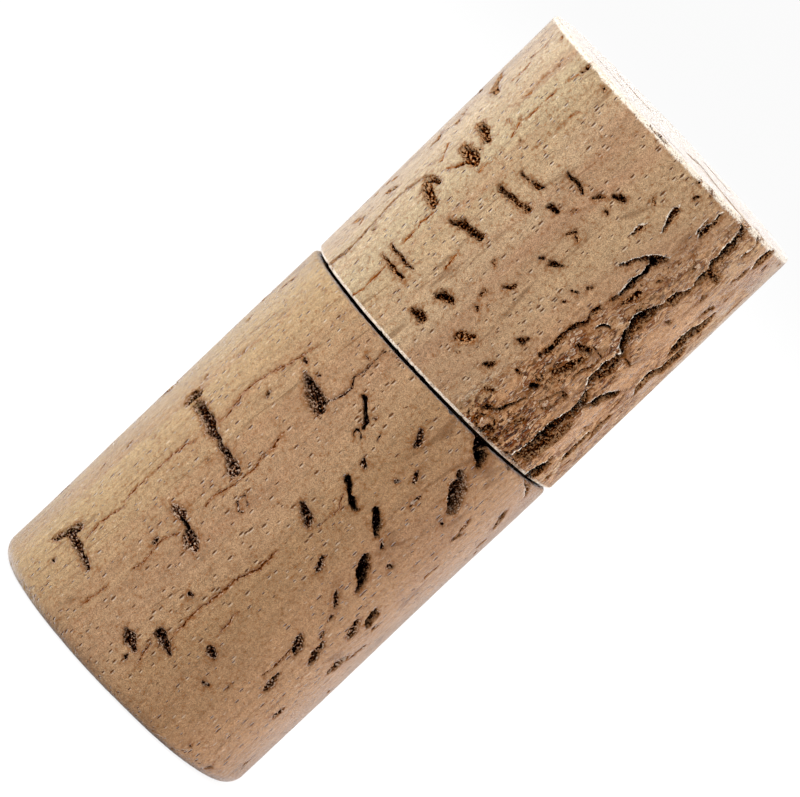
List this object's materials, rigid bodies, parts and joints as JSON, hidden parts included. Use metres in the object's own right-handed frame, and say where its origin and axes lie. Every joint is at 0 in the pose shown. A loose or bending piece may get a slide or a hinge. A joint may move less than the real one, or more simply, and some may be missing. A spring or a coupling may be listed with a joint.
{
  "type": "two-part cork stopper",
  "caption": "Cylindrical stopper of natural cork, split by an open parting line; the upper length pulls straight off a turned spigot on the lower one.",
  "frame": {"origin": "centre of the base, at the lowest point", "axes": "+Z along the cork's axis from the base to the top face; -Y is the side that the picture shows"},
  "size_m": [0.0242, 0.0242, 0.0558],
  "materials": {
    "cork_body": "natural cork, punched and ground, matt",
    "cork_cap": "natural cork, punched and ground, matt, with open cracks"
  },
  "bodies": {
    "lower": {"cork_body": "cork_body"},
    "upper": {"cork_cap": "cork_cap"}
  },
  "joints": [
    {"name": "cap_pull", "type": "slide", "parent": "lower", "child": "upper", "axis": [0, 0, 1], "range_m": [0, 0.012]}
  ]
}
